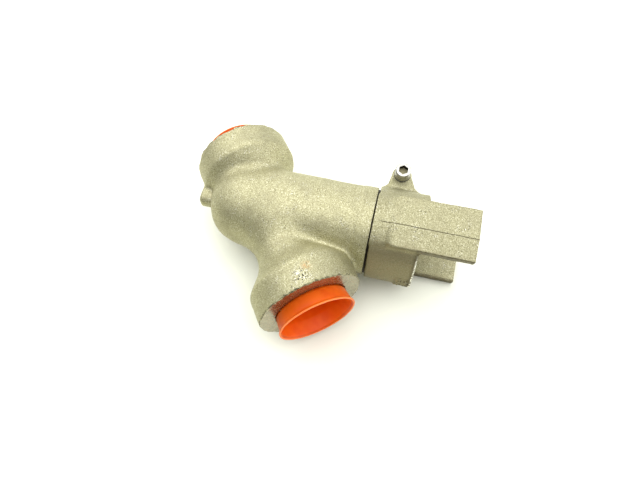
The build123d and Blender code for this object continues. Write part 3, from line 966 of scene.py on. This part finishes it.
def plain_steel(name, colour, roughness):
    """Small steel pieces: even metal with faint handling marks."""
    s = Shader(name, Metallic=1.0, Roughness=roughness)
    darker = tuple(c * 0.7 for c in colour)
    worn = s.grey_ramp(s.noise(4.8, 4.0, 0.65), 0.35, 0.7)
    s.drive("Base Color", s.mix(worn, colour, darker))
    wear = s.noise(1.6, 3.0)
    s.drive("Roughness", s.grey_ramp(wear, 0.3, 0.7, roughness * 0.75, roughness * 1.3))
    s.bump(s.noise(0.8, 3.0), 0.03, 0.4)
    return s.material


def socket_screw():
    """Bright screw with painted shade on the walls of its hexagon socket, and dust at the bottom."""
    s = Shader("socket_screw", Metallic=1.0, Roughness=0.3)
    ears, arms, leg = leg_places(s)
    off_ears = s.math("SUBTRACT", ears, EAR_REACH)
    off_leg = s.math("SUBTRACT", leg, EAR_AT)
    below = s.math("SUBTRACT", SCREW_HIGH[1], arms)
    inside = within(s, radius_of(s, off_ears, off_leg), -1, KEY_R, 0.2)
    inside = s.product(inside, within(s, below, -1, KEY_DEPTH + 0.5, 0.2))
    # Painted shade: the socket's walls are coloured near black where the recess lies in shade.
    wall = s.product(inside, s.grey_ramp(below, 0.2, 0.5))
    floor = s.product(inside, s.grey_ramp(s.math("DIVIDE", below, KEY_DEPTH), 0.85, 0.97))
    worn = s.grey_ramp(s.noise(2.5, 4.0, 0.65), 0.35, 0.7)
    base = s.mix(worn, SCREW_COLOUR, (0.33, 0.32, 0.28))
    base = s.mix(wall, base, (0.035, 0.030, 0.020))
    base = s.mix(floor, base, (0.34, 0.31, 0.19))
    s.drive("Base Color", base)
    polish = s.grey_ramp(s.noise(1.6, 3.0), 0.3, 0.7, 0.22, 0.38)
    s.drive("Roughness", s.mix(wall, polish, (0.7, 0.7, 0.7)))
    s.bump(s.noise(0.8, 3.0), 0.03, 0.4)
    return s.material


def orange_plastic(name, deep, pale):
    """Thin moulded polyethylene that lets some light through."""
    s = Shader(name, Roughness=0.38, IOR=1.5, Specular_IOR_Level=0.22)
    s.surface.inputs["Subsurface Weight"].default_value = 0.25
    s.surface.inputs["Subsurface Scale"].default_value = 0.003
    s.surface.inputs["Subsurface Radius"].default_value = (1.0, 0.35, 0.1)
    cloudy = s.grey_ramp(s.noise(14, 2.0), 0.35, 0.65)
    s.drive("Base Color", s.mix(cloudy, pale, deep))
    s.bump(s.noise(1.4, 2.0), 0.02, 0.25)
    return s.material


def pale_floor():
    """Matt, faintly mottled sheet."""
    s = Shader("floor", Roughness=0.8)
    mottle = s.grey_ramp(s.noise(60, 2.0), 0.3, 0.7)
    s.drive("Base Color", s.mix(mottle, (0.85, 0.86, 0.73), (0.83, 0.84, 0.71)))
    return s.material


# ---------------------------------------------------------------- pieces


def give(made, *materials):
    """Replaces a piece's materials."""
    made.data.materials.clear()
    for material in materials:
        made.data.materials.append(material)


def use_where(made, number, chosen):
    """Gives material number to the faces whose corners are all chosen."""
    for polygon in made.data.polygons:
        if chosen[list(polygon.vertices)].all():
            polygon.material_index = number


def build_body(forged, faced, bored):
    """The forging, with its own finish on the hub faces and on everything bored."""
    margin = 2.0
    cad_low, cad_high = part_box("body")
    low = (INLET_FACE - margin, cad_low.y / MM - margin, -HUB_R - margin)
    high = (OUTLET_FACE + margin, cad_high.y / MM + margin, HUB_R + margin)
    made, points = field_object("body_forging", body_distance, low, high, step=1.0)
    give(made, forged, faced, bored)
    x, y, z = points.T
    face_band, skin = 0.4, 0.6
    on_face = (np.abs(x - INLET_FACE) < face_band) | (np.abs(x - OUTLET_FACE) < face_band)
    use_where(made, 2, np.abs(forged_outside(x, y, z)) > skin)
    use_where(made, 1, on_face)
    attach(made, "body")
    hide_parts("body")


def build_yoke(forged, bored):
    """The yoke's forging, with its own finish on everything cut."""
    margin = np.array((2, 3, 2))
    low = np.array((YOKE_LOW[0], -YOKE_HIGH[1], YOKE_START)) - margin
    high = np.array((YOKE_HIGH[0], YOKE_HIGH[1], YOKE_END)) + margin
    step = 0.8
    made, points = field_object("yoke_forging", yoke_distance, low, high, step, LEG_PLACE)
    give(made, forged, bored)
    skin = 0.5
    use_where(made, 1, np.abs(yoke_outside(*points.T)) > skin)
    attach(made, "yoke")
    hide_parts("yoke")


def build_caps(plastic, edge, inner):
    """Both caps, with painted light: a brighter orange inside for light through the wall, and a painted highlight
    on the lip.
    """
    for name, face, out in (("inlet_cap", INLET_FACE, -1), ("outlet_cap", OUTLET_FACE, 1)):
        turn = Matrix.Rotation(math.radians(90) * out, 4, "Y")
        place = Matrix.Translation((face * MM, 0, 0)) @ turn
        made = turned(name + "_moulding", cap_outline(), place, 160, out_of_round)
        sharpen(made, 60)
        give(made, plastic, edge, inner)
        x, y, z = np.array([v.co for v in made.data.vertices]).T / MM
        height = (x - face) * out
        wide = np.hypot(y, z)
        in_skirt = (wide < CAP_NECK_R - 0.1) & (height > CAP_PLUG_END + 0.05)
        in_plug = (wide < CAP_INNER_R + 0.4) & (height > 1 - CAP_DEPTH)
        # Painted light: a brighter copy of the orange inside, and a paler painted highlight on the lip.
        use_where(made, 2, in_skirt | in_plug)
        use_where(made, 1, height > CAP_OUT - 1.1)
        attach(made, name)
        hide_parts(name)


def build_thread(name, crest, depth, pitch, span, inner, place, material, body):
    """A threaded sleeve over the plain CAD shank of a piece; span is its low and high end."""
    made = threaded_sleeve(name, crest, depth, pitch, *span, inner, place)
    give(made, material)
    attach(made, body)


def build_threads(greasy_shaded, bright):
    """The threads on the spigot, the clamp screw and the drain plug."""
    build_thread(
        "neck_thread",
        crest=THREAD_R,
        depth=THREAD_DEPTH,
        pitch=THREAD_PITCH,
        span=(NECK_END + 0.5, THREAD_END - 0.3),
        inner=COVER_BORE_R + 1.5,
        place=LEG_PLACE,
        material=greasy_shaded,
        body="body",
    )
    screw_turn = Matrix((LEG, EARS, ARMS)).transposed().to_4x4()
    screw_place = Matrix.Translation((EARS * EAR_REACH + LEG * EAR_AT) * MM) @ screw_turn
    build_thread(
        "clamp_screw_thread",
        crest=SCREW_R + 0.22,
        depth=SMALL_THREAD_DEPTH,
        pitch=SCREW_PITCH,
        span=(SCREW_LOW[1] + 1.2, WASHER_LOW[1] - 0.5),
        inner=SCREW_R - 1.2,
        place=screw_place,
        material=bright,
        body="clamp_screw",
    )
    build_thread(
        "drain_plug_thread",
        crest=PLUG_R + 0.18,
        depth=SMALL_THREAD_DEPTH,
        pitch=PLUG_PITCH,
        span=(leg_box("drain_plug")[0][2] + 1.2, leg_box("drain_seal")[0][2] - 0.5),
        inner=PLUG_R - 1.2,
        place=LEG_PLACE,
        material=bright,
        body="drain_plug",
    )


def build_register(material):
    """A collar at the bottom of the gap between neck and yoke, coloured near black as painted shade in the gap."""
    inner = THREAD_R - THREAD_DEPTH
    low, high = NECK_END - 0.5, YOKE_START - 0.3
    outline = [(inner, low), (REGISTER_R, low), (REGISTER_R, high), (inner, high)]
    made = turned("neck_register", outline, LEG_PLACE)
    sharpen(made, 35)
    give(made, material)
    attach(made, "body")


def finish_cad(node, edge_mm, material):
    """Gives a CAD piece broken edges and its own finish."""
    made = frame["nodes"][node]
    give(made, material)
    edge = made.modifiers.new("edges", "BEVEL")
    edge.width = edge_mm * MM
    edge.segments = 2
    edge.limit_method = "ANGLE"
    edge.angle_limit = math.radians(40)
    edge.harden_normals = False


# ---------------------------------------------------------------- floor, light and camera

# Bearing of the side of the room that the camera looks towards, in degrees from +X to +Y.
FAR = 155.4


def build_floor():
    """A flat sheet under the hubs; sizes here are in metres."""
    size = 4.0
    mesh = bpy.data.meshes.new("floor")
    corners = [(-size, -size, 0), (size, -size, 0), (size, size, 0), (-size, size, 0)]
    mesh.from_pydata(corners, [], [(0, 1, 2, 3)])
    made = bpy.data.objects.new("floor", mesh)
    made.location.z = FLOOR * MM
    bpy.context.scene.collection.objects.link(made)
    give(made, pale_floor())


def linked(tree, kind, operation, first, second):
    """A two-input node whose inputs are sockets or plain values."""
    made = tree.nodes.new(kind)
    made.operation = operation
    for socket, value in zip(made.inputs, (first, second)):
        if isinstance(value, bpy.types.NodeSocket):
            tree.links.new(value, socket)
        else:
            socket.default_value = value
    return made


def build_light():
    """A sky of soft white lobes, each brightest at its middle; the camera sees a plain backdrop."""
    lobes = (
        {"bearing": 0, "rise": 90, "strength": 3.60, "sharpness": 4},
        {"bearing": FAR, "rise": 12, "strength": 2.38, "sharpness": 8},
        {"bearing": FAR - 90, "rise": 45, "strength": 0.45, "sharpness": 6},
        {"bearing": FAR - 90, "rise": 12, "strength": 2.90, "sharpness": 8},
        {"bearing": FAR - 45, "rise": 28, "strength": 0.32, "sharpness": 8},
        {"bearing": FAR + 90, "rise": 45, "strength": 0.42, "sharpness": 6},
        {"bearing": FAR + 45, "rise": 28, "strength": 2.15, "sharpness": 8},
    )
    world = bpy.data.worlds.new("studio")
    world.use_nodes = True
    tree = world.node_tree
    direction = tree.nodes.new("ShaderNodeTexCoord").outputs["Generated"]
    total = 0.0
    for lobe in lobes:
        bearing, rise = math.radians(lobe["bearing"]), math.radians(lobe["rise"])
        towards = (
            math.cos(rise) * math.cos(bearing),
            math.cos(rise) * math.sin(bearing),
            math.sin(rise),
        )
        facing = linked(tree, "ShaderNodeVectorMath", "DOT_PRODUCT", direction, towards)
        lit = linked(tree, "ShaderNodeMath", "MAXIMUM", facing.outputs["Value"], 0.0)
        soft = linked(tree, "ShaderNodeMath", "POWER", lit.outputs[0], lobe["sharpness"])
        scaled = linked(tree, "ShaderNodeMath", "MULTIPLY", soft.outputs[0], lobe["strength"])
        total = linked(tree, "ShaderNodeMath", "ADD", total, scaled.outputs[0]).outputs[0]
    studio = tree.nodes["Background"]
    studio.inputs["Color"].default_value = (0.985, 0.99, 1.02, 1)
    tree.links.new(total, studio.inputs["Strength"])
    backdrop = tree.nodes.new("ShaderNodeBackground")
    backdrop.inputs["Color"].default_value = (0.93, 0.93, 0.90, 1)
    seen = tree.nodes.new("ShaderNodeMixShader")
    tree.links.new(tree.nodes.new("ShaderNodeLightPath").outputs["Is Camera Ray"], seen.inputs[0])
    tree.links.new(studio.outputs[0], seen.inputs[1])
    tree.links.new(backdrop.outputs[0], seen.inputs[2])
    tree.links.new(seen.outputs[0], tree.nodes["World Output"].inputs["Surface"])
    bpy.context.scene.world = world


def build_camera():
    """Looks down at the part from the outlet side, as wide as 24 mm on a full frame."""
    target = Vector((0.0506, 0.0324, 0))
    distance = 0.3829
    azimuth, elevation, roll = (math.radians(v) for v in (-22.54, 60.82, -1.83))
    flat = math.cos(elevation)
    away = Vector((flat * math.cos(azimuth), flat * math.sin(azimuth), math.sin(elevation)))
    lens = bpy.data.cameras.new("camera")
    lens.lens = 23.55
    lens.sensor_width = 36
    lens.clip_start = 0.01
    made = bpy.data.objects.new("camera", lens)
    turn = (-away).to_track_quat("-Z", "Y").to_matrix() @ Matrix.Rotation(roll, 3, "Z")
    made.matrix_world = Matrix.Translation(target + away * distance) @ turn.to_4x4()
    bpy.context.scene.collection.objects.link(made)
    bpy.context.scene.camera = made


# ---------------------------------------------------------------- the scene

body_marks = (
    (hub_glints, (0.90, 0.89, 0.78), 0),
    (hub_rust, (0.46, 0.27, 0.10), 0),
    (hub_pits, PIT_COLOUR, 0.3),
    (chipped_rims, SCAR_COLOUR, 0.25),
)
yoke_marks = (
    # painted shade on the ring's side away from the light, with oil
    (ring_shade_and_oil, (0.235, 0.205, 0.115), 0),
    # painted shade on the arms' flanks, under their edges
    (arm_flank_shade, (0.11, 0.095, 0.055), 0),
    (yoke_scars, SCAR_COLOUR, 0.25),
    # rubbed edge, brightened as a painted highlight
    (ring_rub_highlight, (0.88, 0.87, 0.74), 0),
)
forged_body = forged_steel("forged_steel", body_marks, 1.10)
forged_arms = forged_steel("forged_arms", yoke_marks, 0.94)
turned_steel = machined_steel("turned_steel", LEG, MACHINED_COLOUR)
faced = machined_steel("faced_steel", (1, 0, 0), (0.38, 0.355, 0.235), roughness=0.24, relief=0.1)
winding = machined_steel("winding", LEG, (0.30, 0.30, 0.31), pitch_mm=0.5)
plastic = orange_plastic("orange_plastic", (0.58, 0.073, 0.001), (0.65, 0.098, 0.002))
plastic_inside_glow = orange_plastic("orange_inside", (0.72, 0.090, 0.001), (0.78, 0.115, 0.002))
plastic_lip_highlight = orange_plastic("orange_edge", (0.80, 0.19, 0.04), (0.84, 0.22, 0.05))
screw_steel = plain_steel("screw_steel", SCREW_COLOUR, 0.30)
# Near-black steel: grease on the neck thread, and painted shade in the gap between neck and yoke.
greasy_thread = plain_steel("greasy_thread", (0.035, 0.030, 0.022), 0.55)
dark_steel = plain_steel("dark_steel", (0.12, 0.12, 0.12), 0.4)
stainless = plain_steel("stainless", (0.60, 0.60, 0.58), 0.28)
copper = plain_steel("copper", (0.80, 0.36, 0.20), 0.32)

build_body(forged_body, faced, turned_steel)
build_yoke(forged_arms, turned_steel)
build_caps(plastic, plastic_lip_highlight, plastic_inside_glow)
for node, edge_mm, material in (
    ("clamp_screw", 0.4, socket_screw()),
    ("clamp_lock_washer", 0.2, dark_steel),
    ("gasket_inner_ring", 0.1, stainless),
    ("gasket_winding", 0.1, winding),
    ("gasket_outer_ring", 0.1, stainless),
    ("screen_sheet", 0.05, stainless),
    ("screen_seat_ring", 0.2, stainless),
    ("screen_collar", 0.2, stainless),
    ("cover", 0.3, turned_steel),
    ("thrust_washer", 0.2, turned_steel),
    ("retaining_ring", 0.15, dark_steel),
    ("drain_seal", 0.2, copper),
    ("drain_plug", 0.3, screw_steel),
):
    finish_cad(node, edge_mm, material)
build_threads(greasy_thread, screw_steel)
build_register(greasy_thread)
build_floor()
build_light()
build_camera()
bpy.context.scene.view_settings.view_transform = "Standard"
